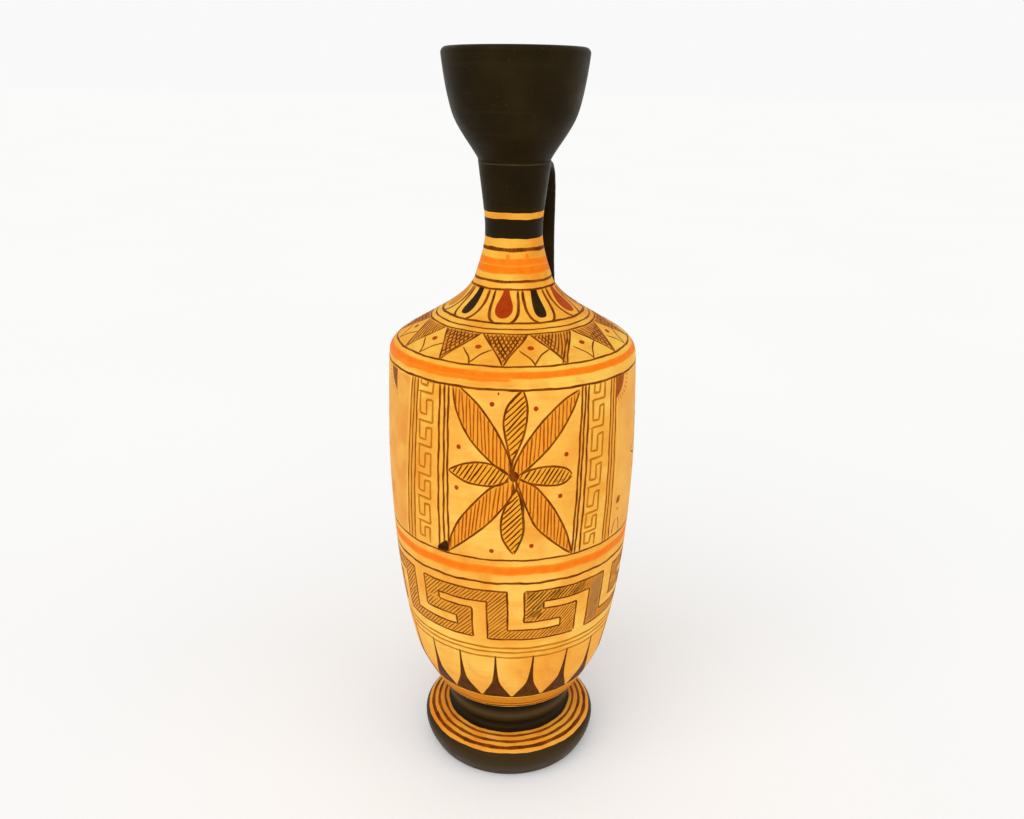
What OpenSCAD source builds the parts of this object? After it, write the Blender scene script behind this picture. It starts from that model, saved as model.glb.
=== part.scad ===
// Lekythos: a tall oil bottle with a disc foot, a cylindrical body, a sloping shoulder,
// a narrow neck, a deep cup mouth and one strap handle behind the neck.
// The parts are thrown one by one and luted together with thin slip.
// +Z is up, the handle lies on +Y, and the origin is the middle of the foot's underside.

/* [Foot] */
// Radius of the foot at its widest line
foot_r = 31.2; // [29.5:0.1:34]
// Radius of the foot just above the table
foot_base_r = 28.5; // [26:0.1:30]
// Height of the widest line of the foot
foot_edge_h = 8.8; // [6:0.1:9.5]
// Height of the top of the foot where the stem begins
foot_h = 13.8; // [12.5:0.1:18]
// Radius where the top of the foot turns up into the stem
stem_flare_r = 22.4; // [21.5:0.1:24.5]
// Radius of the groove below the ring of the stem
stem_groove_r = 20.2; // [18.5:0.1:21]
// Radius of the rounded ring of the stem
stem_ring_r = 22.6; // [21.2:0.1:24]
// Height of the stem above the foot
stem_h = 13.5; // [11:0.1:18]
// Radius of the stem where it carries the body
stem_top_r = 24.4; // [22:0.1:26]
// Width of the ring that the foot stands on
foot_stand_w = 6; // [4:0.1:9]
// Depth of the hollow under the foot
foot_hollow_h = 15; // [6:0.5:18]
// Radius of the hollow under the foot at its top
foot_hollow_top_r = 11; // [6:0.5:14]

/* [Body] */
// Radius of the body at its base
body_base_r = 26.4; // [25:0.1:28]
// Radius of the body where its base cone meets the long wall
body_knee_r = 33.9; // [31:0.1:36]
// Height of that bend above the base of the body
body_knee_h = 15.9; // [12:0.1:22]
// Radius of the body at its widest
body_r = 41.1; // [38.5:0.1:46]
// Height of the widest line above the base of the body
body_belly_h = 88.3; // [60:0.5:105]
// Radius of the body where the shoulder begins
body_top_r = 39.95; // [37.5:0.05:43]
// Height of the body
body_h = 120.8; // [110:0.1:160]
// Thickness of the body wall
body_wall = 4.5; // [3.5:0.1:6]
// Thickness of the body floor
body_floor = 6; // [4:0.1:9]

/* [Shoulder] */
// Width of the rounded edge of the shoulder
shoulder_edge_w = 6.75; // [5:0.05:9]
// Height of the rounded edge of the shoulder
shoulder_edge_h = 7.3; // [6:0.1:10]
// Height of the shoulder
shoulder_h = 24.1; // [20:0.1:32]
// Thickness of the shoulder wall
shoulder_wall = 4.5; // [3.5:0.1:5.5]

/* [Neck] */
// Radius of the neck at its base
neck_base_r = 12.1; // [11.2:0.1:14]
// Radius of the neck at its narrowest
neck_waist_r = 9.02; // [8.6:0.01:10]
// Height of the narrowest line above the base of the neck
neck_waist_h = 14.1; // [10:0.1:20]
// Radius of the neck under the mouth
neck_top_r = 11.2; // [10.7:0.1:13]
// Height of the neck
neck_h = 34.5; // [30:0.1:50]
// Radius of the pouring bore through the neck
neck_bore_r = 5.5; // [3:0.1:6]
// Radius of the tenons at both ends of the neck
tenon_r = 8.2; // [7:0.1:8.4]
// Length of each tenon
tenon_h = 3; // [1.5:0.1:4]

/* [Mouth] */
// Radius of the mouth at its rim
mouth_r = 22.2; // [20:0.1:26]
// Radius of the mouth where its cone turns up into the wall
mouth_bend_r = 18.7; // [17:0.1:20]
// Height of that bend above the base of the mouth
mouth_bend_h = 11.9; // [10:0.1:15]
// Height of the mouth
mouth_h = 31.7; // [25:0.1:45]
// Thickness of the mouth wall and of its rounded rim
mouth_wall = 3.6; // [2.8:0.1:4.2]

/* [Handle] */
// Distance from the axis of the bottle to the middle of the strap
handle_reach = 25.4; // [22:0.1:30]
// Distance from the top of the neck down to the top end of the handle
handle_drop = 5.5; // [4:0.1:8]
// Rise of the handle's arch above its top end
handle_rise = 5.6; // [3:0.1:7]
// Distance from the edge of the body's top in to the handle's landing on the shoulder
handle_inset = 12.45; // [9.5:0.05:15]
// Thickness of the strap
handle_t = 4.6; // [3:0.1:6]
// Width of the strap at its middle
handle_w = 13.4; // [10:0.1:20]
// Width of the strap at its top end
handle_top_w = 15; // [12:0.1:20]
// Width of the strap at its root
handle_root_w = 17; // [14:0.1:24]

/* [Joints] */
// Thickness of the slip that lutes the parts together
slip_t = 0.4; // [0.2:0.05:0.8]
// Clearance round each tenon and register
register_gap = 0.3; // [0.1:0.05:0.5]
// Height of the registers that centre the body on the foot and the shoulder on the body
register_h = 1.6; // [1:0.1:2.5]
// Radius of the register on the stem
foot_register_r = 10; // [6:0.5:14]

/* [Hidden] */

// Facets of a full turn, and steps of each curve
$fn = 96;
curve_steps = 10;

// How far a cut runs past the face that it opens
past = 1;

// Colours of the glaze, of the painted ground and of the pale slip in the joints
glaze_black = [0.13, 0.11, 0.08];
ground_yellow = [0.98, 0.70, 0.27];
slip_pale = [0.72, 0.52, 0.33];

// Heights of the joints, from the table up
body_z = foot_h + stem_h + slip_t;
shoulder_z = body_z + body_h + slip_t;
neck_z = shoulder_z + shoulder_h + slip_t;
mouth_z = neck_z + neck_h + slip_t;
rim_z = mouth_z + mouth_h;

// Points of a curve from a to d that leaves towards b and arrives from c
function curve(a, b, c, d) =
    [for (i = [0:curve_steps]) let (t = i / curve_steps, s = 1 - t)
        s * s * s * a + 3 * s * s * t * b + 3 * s * t * t * c + t * t * t * d];

// The same list without its first point, to join curves end to end
function rest_of(points) = [for (i = [1:len(points) - 1]) points[i]];

function reversed(points) = [for (i = [len(points) - 1:-1:0]) points[i]];

// Outward normal of a rising outline at point i
function normal_at(points, i) =
    let (v = points[min(i + 1, len(points) - 1)] - points[max(i - 1, 0)]) [v.y, -v.x] / norm(v);

// The outline moved outwards by d, or inwards where d is negative
function moved(points, d) = [for (i = [0:len(points) - 1]) points[i] + d * normal_at(points, i)];

// Height of a falling outline at radius r
function height_at(points, r) = lookup(r, [for (p = points) [p.x, p.y]]);

// Point at shares u of the way across and v of the way up from a to b
function between(a, b, u, v) = [a.x + u * (b.x - a.x), a.y + v * (b.y - a.y)];

// Outer outlines, each from its lowest point up
foot_foot = [foot_base_r - 0.8, 0];
foot_low = [foot_base_r, 0.8];
foot_edge = [foot_r, foot_edge_h];
foot_flare = [stem_flare_r, foot_h];
groove_z = foot_h + 0.17 * stem_h;
ring_z = foot_h + 0.5 * stem_h;
ring_top_z = foot_h + 0.83 * stem_h;
foot_line = concat(
    [foot_foot],
    curve(foot_low, foot_low + [1.2, 2.4], [foot_r, foot_edge_h - 3.5], foot_edge),
    rest_of(curve(foot_edge, foot_edge + [0, 1.9], between(foot_edge, foot_flare, 0.2, 0.68), foot_flare)),
    rest_of(curve(foot_flare, [stem_groove_r + 0.9, foot_h + 0.2], [stem_groove_r, foot_h + 0.6],
                  [stem_groove_r, groove_z])),
    rest_of(curve([stem_groove_r, groove_z], [stem_ring_r - 0.2, groove_z + 0.2],
                  [stem_ring_r, ring_z - 1.6], [stem_ring_r, ring_z])),
    rest_of(curve([stem_ring_r, ring_z], [stem_ring_r, ring_z + 1.6],
                  [stem_ring_r - 0.3, ring_top_z - 0.6], [stem_ring_r - 0.9, ring_top_z])),
    [[stem_top_r, foot_h + stem_h]]);

body_base = [body_base_r, body_z];
body_knee = [body_knee_r, body_z + body_knee_h];
body_belly = [body_r, body_z + body_belly_h];
body_top = [body_top_r, body_z + body_h];
body_line = concat(
    curve(body_base, between(body_base, body_knee, 0.35, 0.3),
          between(body_base, body_knee, 0.87, 0.77), body_knee),
    rest_of(curve(body_knee, between(body_knee, body_belly, 1, 0.4),
                  between(body_knee, body_belly, 1, 0.95), body_belly)),
    rest_of(curve(body_belly, between(body_belly, body_top, 0, 0.13),
                  between(body_belly, body_top, 0.58, 0.88), body_top)));

shoulder_base = [body_top_r, shoulder_z];
shoulder_edge = [body_top_r - shoulder_edge_w, shoulder_z + shoulder_edge_h];
shoulder_top = [neck_base_r, shoulder_z + shoulder_h];
dome_line = curve(shoulder_edge, between(shoulder_edge, shoulder_top, 0.625, 0.46),
                  between(shoulder_edge, shoulder_top, 0.885, 0.63), shoulder_top);
shoulder_line = concat(
    curve(shoulder_base, between(shoulder_base, shoulder_edge, 0, 0.36),
          between(shoulder_base, shoulder_edge, 0.28, 0.62), shoulder_edge),
    rest_of(dome_line));

neck_base = [neck_base_r, neck_z];
neck_waist = [neck_waist_r, neck_z + neck_waist_h];
neck_top = [neck_top_r, neck_z + neck_h];
neck_line = concat(
    curve(neck_base, between(neck_base, neck_waist, 0.26, 0.17),
          between(neck_base, neck_waist, 1, 0.57), neck_waist),
    rest_of(curve(neck_waist, between(neck_waist, neck_top, 0, 0.22),
                  between(neck_waist, neck_top, 0.68, 0.69), neck_top)));

mouth_base = [neck_top_r, mouth_z];
mouth_bend = [mouth_bend_r, mouth_z + mouth_bend_h];
mouth_lip = [mouth_r, rim_z - mouth_wall / 2];
mouth_line = concat(
    curve(mouth_base, between(mouth_base, mouth_bend, 0.25, 0.29),
          between(mouth_base, mouth_bend, 0.8, 0.72), mouth_bend),
    rest_of(curve(mouth_bend, between(mouth_bend, mouth_lip, 0.29, 0.17),
                  between(mouth_bend, mouth_lip, 0.83, 0.57), mouth_lip)));

// Middle line of the strap, seen from the side, from the neck over the arch to the shoulder
handle_start = [neck_top_r - handle_t / 2, mouth_z - slip_t - handle_drop];
handle_arch_z = handle_start.y + handle_rise;
handle_fall = [handle_reach, handle_arch_z - 2 * handle_drop - handle_rise];
handle_root_r = body_top_r - handle_inset;
handle_land = [handle_root_r, height_at(dome_line, handle_root_r)];
handle_end = handle_land + [1, -handle_t];
handle_line = concat(
    curve(handle_start, [between(handle_start, handle_fall, 0.5, 0).x, handle_arch_z],
          [handle_reach, handle_arch_z], handle_fall),
    rest_of(curve(handle_fall, between(handle_fall, handle_end, 0, 0.35),
                  between(handle_fall, handle_end, 0, 0.75), handle_end)));

// Solid turned from an outline and closed along the axis
module turned(line) {
    rotate_extrude()
        polygon(concat([[0, line[0].y]], line, [[0, line[len(line) - 1].y]]));
}

// Flat ring between radii a and b, from height z up by h
module ring(a, b, z, h) {
    translate([0, 0, z])
        difference() {
            cylinder(h = h, r = b);
            translate([0, 0, -past]) cylinder(h = h + 2 * past, r = a);
        }
}

// Upright round cut of radius r from height z up by h
module round_cut(r, z, h) {
    translate([0, 0, z]) cylinder(h = h, r = r);
}

// Disc foot with its stem, hollow below, with a register on top that centres the body
module foot() {
    color(glaze_black)
        difference() {
            union() {
                turned(foot_line);
                round_cut(foot_register_r, foot_h + stem_h - past, past + slip_t + register_h);
            }
            rotate_extrude()
                polygon([[0, -past], [foot_foot.x - foot_stand_w, -past],
                         [foot_foot.x - foot_stand_w, 1], [foot_hollow_top_r, foot_hollow_h],
                         [0, foot_hollow_h]]);
        }
}

// Slip between the stem and the body, round the register
module foot_slip() {
    color(slip_pale) ring(foot_register_r + register_gap, stem_top_r, foot_h + stem_h, slip_t);
}

// Body: a thrown wall and floor, with a recess below for the foot's register
// and a raised register inside its rim for the shoulder
module body() {
    floor_z = body_z + body_floor;
    inner = [for (p = moved(body_line, -body_wall)) if (p.y > floor_z + 1 && p.y < body_top.y) p];
    register_out = body_top_r - body_wall / 2;
    color(ground_yellow)
        difference() {
            union() {
                turned(body_line);
                round_cut(register_out, body_top.y - past, past + slip_t + register_h);
            }
            rotate_extrude()
                polygon(concat([[0, floor_z], [inner[0].x - 2, floor_z]], inner,
                               [[body_top_r - body_wall, body_top.y],
                                [body_top_r - body_wall, shoulder_z + register_h + past],
                                [0, shoulder_z + register_h + past]]));
            round_cut(foot_register_r + register_gap, body_z - past, past + register_h + register_gap);
        }
}

// Slip between the body and the shoulder, outside the register
module shoulder_slip() {
    color(slip_pale)
        ring(body_top_r - body_wall / 2 + register_gap, body_top_r, body_z + body_h, slip_t);
}

// Shoulder: a dome that closes the body, with a rebate over the body's register
// and a round seat for the neck's lower tenon
module shoulder() {
    inner = [for (p = moved(shoulder_line, -shoulder_wall))
                if (p.y > shoulder_z + 0.5 && p.x > neck_base_r - shoulder_wall / 2) p];
    color(ground_yellow)
        difference() {
            turned(shoulder_line);
            rotate_extrude()
                polygon(concat([[0, shoulder_z - past], [body_top_r - shoulder_wall, shoulder_z - past]],
                               inner, [[0, inner[len(inner) - 1].y]]));
            round_cut(body_top_r - body_wall / 2 + register_gap, shoulder_z - past,
                      past + register_h + register_gap);
            round_cut(tenon_r + register_gap, shoulder_z, shoulder_h + past);
        }
}

// Slip between the shoulder and the neck
module neck_slip() {
    color(slip_pale)
        ring(tenon_r + register_gap, neck_base_r, shoulder_z + shoulder_h, slip_t);
}

// Neck: a narrow tube with a straight bore and a tenon at each end
module neck() {
    color(glaze_black)
        difference() {
            union() {
                turned(neck_line);
                round_cut(tenon_r, neck_z - slip_t - tenon_h, tenon_h + slip_t + past);
                round_cut(tenon_r, neck_top.y - past, past + slip_t + tenon_h);
            }
            round_cut(neck_bore_r, neck_z - slip_t - tenon_h - past,
                      neck_h + 2 * (tenon_h + slip_t + past));
        }
}

// Slip between the neck and the mouth, seen as a faint line
module mouth_slip() {
    color(slip_pale) ring(tenon_r + register_gap, neck_top_r, neck_top.y, slip_t);
}

// Mouth: a deep cup with a rounded rim, seated on the neck's upper tenon
module mouth() {
    floor_z = mouth_z + tenon_h;
    inner = [for (p = moved(mouth_line, -mouth_wall))
                if (p.y > floor_z + 0.5 && p.y < mouth_lip.y - 0.5) p];
    lip_r = mouth_wall / 2;
    lip = [for (a = [0:15:180]) [mouth_r - lip_r + lip_r * cos(a), mouth_lip.y + lip_r * sin(a)]];
    color(glaze_black)
        rotate_extrude()
            polygon(concat([[tenon_r + register_gap, mouth_z]], mouth_line, rest_of(lip),
                           reversed(inner), [[tenon_r + register_gap, floor_z]]));
}

// The whole strap before its ends are cut to the bottle; grow widens it and thickens it
module strap(grow = 0) {
    top_z = handle_arch_z + handle_t;
    low_z = handle_end.y - handle_t;
    half = [handle_root_w, handle_w, handle_top_w] / 2 + [grow, grow, grow];
    side = curve([half[0], low_z], [half[1], handle_land.y + handle_t],
                 [half[1], handle_fall.y], [half[2], top_z]);
    intersection() {
        rotate([90, 0, 90])
            linear_extrude(height = 2 * handle_root_w, center = true)
                polygon(concat(moved(handle_line, handle_t / 2 + grow),
                               reversed(moved(handle_line, -handle_t / 2 - grow))));
        rotate([90, 0, 0])
            translate([0, 0, -2 * handle_reach])
                linear_extrude(height = 2 * handle_reach)
                    polygon(concat(side, [for (p = reversed(side)) [-p.x, p.y]]));
    }
}

// Solid that the handle's top end is cut by, d outside the neck
module neck_outside(d) {
    turned(concat([[neck_base_r + d, neck_z]], moved(neck_line, d), [[neck_top_r + d, mouth_z]]));
}

// Solid that the handle's root is cut by, d outside the shoulder
module shoulder_outside(d) {
    turned(concat([[body_top_r + d, shoulder_z]], moved(shoulder_line, d)));
}

// How far the slip pads spread past the ends of the strap
pad_spread = 0.6;
// Height that parts the two pads, halfway up the strap
pad_split_z = (handle_start.y + handle_land.y) / 2;

// Slip pad between the neck and the handle's top end
module handle_top_slip() {
    color(slip_pale)
        difference() {
            intersection() {
                strap(pad_spread);
                neck_outside(slip_t);
                round_cut(body_r, pad_split_z, rim_z);
            }
            neck_outside(0);
        }
}

// Slip pad between the shoulder and the handle's root
module handle_root_slip() {
    color(slip_pale)
        difference() {
            intersection() {
                strap(pad_spread);
                shoulder_outside(slip_t);
                round_cut(body_r, 0, pad_split_z);
            }
            shoulder_outside(0);
        }
}

// Strap handle from the top of the neck down to the shoulder
module handle() {
    color(glaze_black)
        difference() {
            strap();
            neck_outside(slip_t);
            shoulder_outside(slip_t);
        }
}

foot();
foot_slip();
body();
shoulder_slip();
shoulder();
neck_slip();
neck();
mouth_slip();
mouth();
handle_top_slip();
handle_root_slip();
handle();
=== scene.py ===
import bisect
import cmath
import random
from itertools import accumulate, cycle
from math import ceil, copysign, cos, dist, hypot, pi, radians, sin, sqrt, tan

import bmesh
import bpy
from mathutils import Matrix, Vector


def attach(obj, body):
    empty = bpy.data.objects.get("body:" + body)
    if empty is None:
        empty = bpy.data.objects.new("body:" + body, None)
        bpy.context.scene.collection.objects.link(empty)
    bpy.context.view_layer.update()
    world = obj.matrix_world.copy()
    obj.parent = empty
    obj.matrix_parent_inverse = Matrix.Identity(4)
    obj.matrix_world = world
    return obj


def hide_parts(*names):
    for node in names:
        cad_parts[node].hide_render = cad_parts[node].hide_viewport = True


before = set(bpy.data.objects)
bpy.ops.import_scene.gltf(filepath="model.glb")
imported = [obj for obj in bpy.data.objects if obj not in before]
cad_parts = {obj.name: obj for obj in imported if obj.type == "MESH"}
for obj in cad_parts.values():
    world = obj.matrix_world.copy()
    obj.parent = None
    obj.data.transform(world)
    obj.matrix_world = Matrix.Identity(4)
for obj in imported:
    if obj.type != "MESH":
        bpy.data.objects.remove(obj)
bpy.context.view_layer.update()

# All sizes are in millimetres, and MM turns them into metres.
MM = 0.001
# Degrees from -Y towards +X, to the middle of the painted front panel.
PANEL_TURN = 16
# The painted surface lies this far inside the CAD outline, and paint edges dip this far into it.
SKIN, SINK = 0.08, 0.008
# Facets round the bottle and round the strap, and the angle from which an edge looks sharp.
TURN_STEPS, STRAP_STEPS, SHARP = 288, 40, radians(38)
# The length over which a brush line narrows to its end, and the least length of a hatch line.
TAPER_L, LEAST_HATCH = 1.6, 0.5
rng = random.Random(16)

# Sizes of the bottle, the same as in part.scad.
FOOT_R, FOOT_BASE_R, FOOT_CHAMFER, FOOT_EDGE_H, FOOT_H = 31.2, 28.5, 0.8, 8.8, 13.8
STEM_FLARE_R, STEM_GROOVE_R, STEM_RING_R, STEM_H, STEM_TOP_R = 22.4, 20.2, 22.6, 13.5, 24.4
FOOT_STAND_W, HOLLOW_H, HOLLOW_TOP_R = 6, 15, 11
BODY_BASE_R, BODY_KNEE_R, BODY_KNEE_H = 26.4, 33.9, 15.9
BODY_R, BODY_BELLY_H, BODY_TOP_R, BODY_H = 41.1, 88.3, 39.95, 120.8
BODY_WALL, BODY_FLOOR = 4.5, 6
SHOULDER_EDGE_W, SHOULDER_EDGE_H, SHOULDER_H, SHOULDER_WALL = 6.75, 7.3, 24.1, 4.5
NECK_BASE_R, NECK_WAIST_R, NECK_WAIST_H = 12.1, 9.02, 14.1
NECK_TOP_R, NECK_H, BORE_R, TENON_R, TENON_H = 11.2, 34.5, 5.5, 8.2, 3
MOUTH_R, MOUTH_BEND_R, MOUTH_BEND_H, MOUTH_H, MOUTH_WALL = 22.2, 18.7, 11.9, 31.7, 3.6
HANDLE_REACH, HANDLE_DROP, HANDLE_RISE = 25.4, 5.5, 5.6
HANDLE_INSET, HANDLE_T, HANDLE_W, HANDLE_TOP_W, HANDLE_ROOT_W = 12.45, 4.6, 13.4, 15, 17
SLIP_T, GAP, REGISTER_H, REGISTER_R = 0.4, 0.3, 1.6, 10
# Where the outer pieces of the joints begin.
SOCKET_R, REBATE_R, SEAT_R = REGISTER_R + GAP, BODY_TOP_R - BODY_WALL / 2 + GAP, TENON_R + GAP

STEM_TOP_Z = FOOT_H + STEM_H
BODY_Z = STEM_TOP_Z + SLIP_T
BODY_TOP_Z = BODY_Z + BODY_H
SHOULDER_Z = BODY_TOP_Z + SLIP_T
SHOULDER_TOP_Z = SHOULDER_Z + SHOULDER_H
NECK_Z = SHOULDER_TOP_Z + SLIP_T
NECK_TOP_Z = NECK_Z + NECK_H
MOUTH_Z = NECK_TOP_Z + SLIP_T
RIM_Z = MOUTH_Z + MOUTH_H


# Outlines, as lists of (radius, height) from the lowest point up.


def curve(a, b, c, d, steps=18):
    """Points of a curve from a to d that leaves towards b and arrives from c."""
    shares = [(1 - i / steps, i / steps) for i in range(steps + 1)]
    return [tuple(s * s * s * a[k] + 3 * s * s * t * b[k] + 3 * s * t * t * c[k] + t * t * t * d[k]
                  for k in (0, 1)) for s, t in shares]


def between(a, b, u, v):
    """The point at shares u of the way across and v of the way up from a to b."""
    return (a[0] + u * (b[0] - a[0]), a[1] + v * (b[1] - a[1]))


def sweep(a, d, leave, arrive, steps=18):
    """A curve from a to d; leave and arrive are such shares of the way, for its two handles."""
    return curve(a, between(a, d, *leave), between(a, d, *arrive), d, steps)


def joined(*lines):
    """Lines that follow each other as one line, with each shared point once."""
    return lines[0] + [point for line in lines[1:] for point in line[1:]]


def heading(points, i, j):
    """The direction (across, up) from point i to point j, or to the ends of the line."""
    p, q = points[max(i, 0)], points[min(j, len(points) - 1)]
    length = dist(p, q)
    return (q[0] - p[0]) / length, (q[1] - p[1]) / length


def moved(points, d):
    """The outline moved outwards by d."""
    out = []
    for i, (r, z) in enumerate(points):
        run, rise = heading(points, i - 1, i + 1)
        out.append((r + d * rise, z - d * run))
    return out


def eased(points, rounds, low):
    """The outline with its bends above height low rounded off a little."""
    for _ in range(rounds):
        inner = [q if q[1] < low else tuple((p[k] + 2 * q[k] + r[k]) / 4 for k in (0, 1))
                 for p, q, r in zip(points, points[1:], points[2:])]
        points = [points[0]] + inner + [points[-1]]
    return points


def foot_outline():
    edge, flare = (FOOT_R, FOOT_EDGE_H), (STEM_FLARE_R, FOOT_H)
    groove = (STEM_GROOVE_R, FOOT_H + 0.17 * STEM_H)
    ring = (STEM_RING_R, FOOT_H + 0.5 * STEM_H)
    top = (STEM_RING_R - 0.9, FOOT_H + 0.83 * STEM_H)
    side = joined(
        curve((FOOT_BASE_R, FOOT_CHAMFER), (FOOT_BASE_R + 1.2, 3.2), (FOOT_R, FOOT_EDGE_H - 3.5), edge),
        curve(edge, (FOOT_R, FOOT_EDGE_H + 1.9), between(edge, flare, 0.2, 0.68), flare),
        curve(flare, (STEM_GROOVE_R + 0.9, FOOT_H + 0.2), (STEM_GROOVE_R, FOOT_H + 0.6), groove),
        curve(groove, (STEM_RING_R - 0.2, groove[1] + 0.2), (STEM_RING_R, ring[1] - 1.6), ring),
        curve(ring, (STEM_RING_R, ring[1] + 1.6), (STEM_RING_R - 0.3, top[1] - 0.6), top))
    return [(FOOT_BASE_R - FOOT_CHAMFER, 0)] + side + [(STEM_TOP_R, STEM_TOP_Z)]


def body_outline():
    base, knee = (BODY_BASE_R, BODY_Z), (BODY_KNEE_R, BODY_Z + BODY_KNEE_H)
    belly, top = (BODY_R, BODY_Z + BODY_BELLY_H), (BODY_TOP_R, BODY_TOP_Z)
    return joined(sweep(base, knee, (0.35, 0.3), (0.87, 0.77)),
                  sweep(knee, belly, (1, 0.4), (1, 0.95), 40),
                  sweep(belly, top, (0, 0.13), (0.58, 0.88)))


def shoulder_outline():
    base, top = (BODY_TOP_R, SHOULDER_Z), (NECK_BASE_R, SHOULDER_TOP_Z)
    edge = (BODY_TOP_R - SHOULDER_EDGE_W, SHOULDER_Z + SHOULDER_EDGE_H)
    return joined(sweep(base, edge, (0, 0.36), (0.28, 0.62)),
                  sweep(edge, top, (0.625, 0.46), (0.885, 0.63), 30))


def neck_outline():
    base, top = (NECK_BASE_R, NECK_Z), (NECK_TOP_R, NECK_TOP_Z)
    waist = (NECK_WAIST_R, NECK_Z + NECK_WAIST_H)
    return joined(sweep(base, waist, (0.26, 0.17), (1, 0.57)),
                  sweep(waist, top, (0, 0.22), (0.68, 0.69)))


def mouth_outline():
    base, bend = (NECK_TOP_R, MOUTH_Z), (MOUTH_BEND_R, MOUTH_Z + MOUTH_BEND_H)
    lip = (MOUTH_R, RIM_Z - MOUTH_WALL / 2)
    return joined(sweep(base, bend, (0.25, 0.29), (0.8, 0.72)),
                  sweep(bend, lip, (0.29, 0.17), (0.83, 0.57)))


foot_line, body_line = moved(foot_outline(), -SKIN), moved(body_outline(), -SKIN)
foot_line[0] = (FOOT_BASE_R - FOOT_CHAMFER, 0)
shoulder_line, neck_line = moved(shoulder_outline(), -SKIN), moved(neck_outline(), -SKIN)
mouth_line = moved(eased(mouth_outline(), 24, MOUTH_Z + 6.5), -SKIN)

# The whole outer outline, and the way along it at each of its points.
wall = foot_line + body_line + shoulder_line + neck_line + mouth_line
way = [0, *accumulate(dist(a, b) for a, b in zip(wall, wall[1:]))]
heights = [z for r, z in wall]


def found(values, value):
    """Where the rising values reach the value: the index, and the share of the step before it."""
    i = min(max(bisect.bisect_left(values, value), 1), len(values) - 1)
    return i, (value - values[i - 1]) / max(values[i] - values[i - 1], 1e-6)


def way_at(z):
    """The way along the outline at height z."""
    i, share = found(heights, z)
    return way[i - 1] + min(max(share, 0), 1) * (way[i] - way[i - 1])


def wall_at(w):
    """Radius, height and outward direction (across, up) of the outline at way w."""
    i, share = found(way, w)
    run, rise = heading(wall, i - 2, i + 1)
    return (*between(wall[i - 1], wall[i], share, share), rise, -run)


def foot_z(r):
    """The height of the foot's top at radius r."""
    top = [p for p in wall if FOOT_EDGE_H < p[1] < FOOT_H + 0.3]
    for p, q in zip(top, top[1:]):
        if q[0] <= r <= p[0]:
            return p[1] + (p[0] - r) / (p[0] - q[0]) * (q[1] - p[1])


def spot(phi, w, lift):
    """The place at phi degrees from the panel's middle and way w, lifted off the wall."""
    r, z, across, up = wall_at(w)
    r, z = r + lift * across, z + lift * up
    turn = radians(phi + PANEL_TURN)
    return (r * sin(turn) * MM, -r * cos(turn) * MM, z * MM)


# Materials. Colours are written in 0 to 255.


def linear(*colour):
    """A colour as the linear values that the nodes take."""
    shares = (c / 255 for c in colour)
    return (*(c / 12.92 if c <= 0.04045 else ((c + 0.055) / 1.055) ** 2.4 for c in shares), 1)


class Nodes:
    """The nodes of a material or world, and short ways to add and join them."""

    def __init__(self, owner):
        owner.use_nodes = True
        self.owner, self.tree = owner, owner.node_tree

    def add(self, kind, *inputs, **settings):
        """A new node with its settings; inputs are given by name, or as (index, value)."""
        node = self.tree.nodes.new(kind)
        for key, value in settings.items():
            if hasattr(node, key):
                setattr(node, key, value)
            else:
                self.feed(node, key, value)
        for index, value in inputs:
            self.feed(node, index, value)
        return node

    def feed(self, node, key, value):
        """Join another node's output to an input, or write a value in it."""
        if isinstance(value, bpy.types.NodeSocket):
            self.tree.links.new(value, node.inputs[key])
        else:
            node.inputs[key].default_value = value

    def noise(self, scale=1, detail=4, distortion=0, stretch=None):
        """A pattern of greys; stretch makes it finer along each axis."""
        place = self.coords
        if stretch:
            place = self.add("ShaderNodeMapping", Vector=place, Scale=stretch).outputs[0]
        return self.add("ShaderNodeTexNoise", Vector=place, Scale=scale, Detail=detail,
                        Roughness=0.55, Distortion=distortion).outputs["Fac"]

    def ramp(self, source, *stops):
        """A colour ramp; each stop is (position, colour or grey level)."""
        node = self.add("ShaderNodeValToRGB", Fac=source)
        elements = node.color_ramp.elements
        while len(elements) < len(stops):
            elements.new(0.5)
        for element, (position, tone) in zip(elements, stops):
            element.position = position
            element.color = linear(*tone) if isinstance(tone, tuple) else (tone, tone, tone, 1)
        return node.outputs["Color"]

    def mix(self, share, a, b, blend="MIX"):
        """Colours a and b mixed by a share, each an output or a value."""
        return self.add("ShaderNodeMix", (0, share), (6, a), (7, b), data_type="RGBA",
                        blend_type=blend).outputs[2]

    def layer(self, colour, source, start, end, amount, tone):
        """The colour with a tone over it, from none at the source's start to amount at its end."""
        return self.mix(self.ramp(source, (start, 0), (end, amount)), colour, linear(*tone))

    def maths(self, operation, a, b):
        return self.add("ShaderNodeMath", (0, a), (1, b), operation=operation).outputs[0]

    def by_height(self, *stops):
        """A grey level that changes with height; each stop is (height in mm, level)."""
        height = self.add("ShaderNodeSeparateXYZ", (0, self.coords)).outputs["Z"]
        share = self.maths("DIVIDE", height, RIM_Z * MM)
        return self.ramp(share, *((z / RIM_Z, level) for z, level in stops))


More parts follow.
